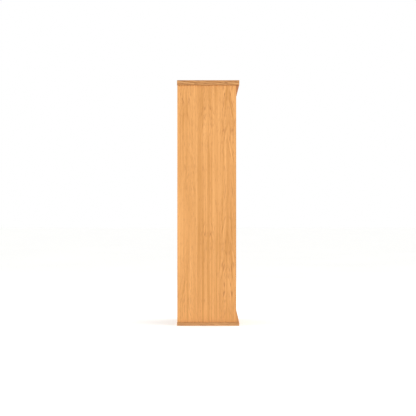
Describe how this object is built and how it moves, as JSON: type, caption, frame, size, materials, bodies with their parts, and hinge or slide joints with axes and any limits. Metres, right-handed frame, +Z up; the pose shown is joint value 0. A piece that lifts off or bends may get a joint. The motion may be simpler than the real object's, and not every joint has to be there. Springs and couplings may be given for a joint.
{
  "type": "pantry cabinet",
  "caption": "Tall storage cabinet with hinged doors, adjustable shelves on pins, thick top and base slabs and bevelled mouldings.",
  "frame": {"origin": "on the floor, under the middle of the base slab", "axes": "+Z up; the doors face -Y; +X is to the right for someone facing the doors"},
  "size_m": [0.762, 0.464, 1.829],
  "materials": {
    "oak_laminate": "honey oak printed laminate on particle board, satin",
    "oak_trim": "darker oak laminate wrapped round slabs and mouldings, satin",
    "hardboard": "bare hardboard, matte",
    "antique_brass": "antique brass plated steel, satin",
    "nickelled_steel": "nickel plated",
    "zinc_plated_steel": "zinc plated",
    "catch_plastic": "moulded brown plastic",
    "ferrite": "pressed and ground ferrite, matte"
  },
  "bodies": {
    "cabinet": {"top_panel": "oak_trim", "base_panel": "oak_trim", "crown_moulding": "oak_trim", "base_moulding": "oak_trim", "left_side_panel": "oak_laminate", "right_side_panel": "oak_laminate", "lower_back_panel": "hardboard", "upper_back_panel": "hardboard", "header_rail": "oak_laminate", "toe_rail": "oak_laminate", "floor_shelf": "oak_laminate", "middle_shelf": "oak_laminate", "adjustable_shelf_1": "oak_laminate", "adjustable_shelf_2": "oak_laminate", "adjustable_shelf_3": "oak_laminate", "adjustable_shelf_4": "oak_laminate", "shelf_pin_1_left_front": "nickelled_steel", "shelf_pin_1_left_rear": "nickelled_steel", "shelf_pin_1_right_front": "nickelled_steel", "shelf_pin_1_right_rear": "nickelled_steel", "shelf_pin_2_left_front": "nickelled_steel", "shelf_pin_2_left_rear": "nickelled_steel", "shelf_pin_2_right_front": "nickelled_steel", "shelf_pin_2_right_rear": "nickelled_steel", "shelf_pin_3_left_front": "nickelled_steel", "shelf_pin_3_left_rear": "nickelled_steel", "shelf_pin_3_right_front": "nickelled_steel", "shelf_pin_3_right_rear": "nickelled_steel", "shelf_pin_4_left_front": "nickelled_steel", "shelf_pin_4_left_rear": "nickelled_steel", "shelf_pin_4_right_front": "nickelled_steel", "shelf_pin_4_right_rear": "nickelled_steel", "left_hinge_1_side_leaf": "antique_brass", "left_hinge_1_pin": "antique_brass", "left_hinge_2_side_leaf": "antique_brass", "left_hinge_2_pin": "antique_brass", "left_hinge_3_side_leaf": "antique_brass", "left_hinge_3_pin": "antique_brass", "right_hinge_1_side_leaf": "antique_brass", "right_hinge_1_pin": "antique_brass", "right_hinge_2_side_leaf": "antique_brass", "right_hinge_2_pin": "antique_brass", "right_hinge_3_side_leaf": "antique_brass", "right_hinge_3_pin": "antique_brass", "catch_housing": "catch_plastic", "catch_magnet_left": "ferrite", "catch_magnet_right": "ferrite", "wall_bracket_left": "zinc_plated_steel", "wall_bracket_right": "zinc_plated_steel"},
    "left_door": {"left_door": "oak_laminate", "left_hinge_1_door_leaf": "antique_brass", "left_hinge_2_door_leaf": "antique_brass", "left_hinge_3_door_leaf": "antique_brass", "left_strike_plate": "zinc_plated_steel"},
    "right_door": {"right_door": "oak_laminate", "right_hinge_1_door_leaf": "antique_brass", "right_hinge_2_door_leaf": "antique_brass", "right_hinge_3_door_leaf": "antique_brass", "right_strike_plate": "zinc_plated_steel"}
  },
  "joints": [
    {"name": "left_door_swing", "type": "hinge", "parent": "cabinet", "child": "left_door", "pos_m": [-0.3497, -0.2043, 0.879], "axis": [0, 0, -1], "range_deg": [0, 120]},
    {"name": "right_door_swing", "type": "hinge", "parent": "cabinet", "child": "right_door", "pos_m": [0.3497, -0.2043, 0.879], "axis": [0, 0, 1], "range_deg": [0, 120]}
  ]
}
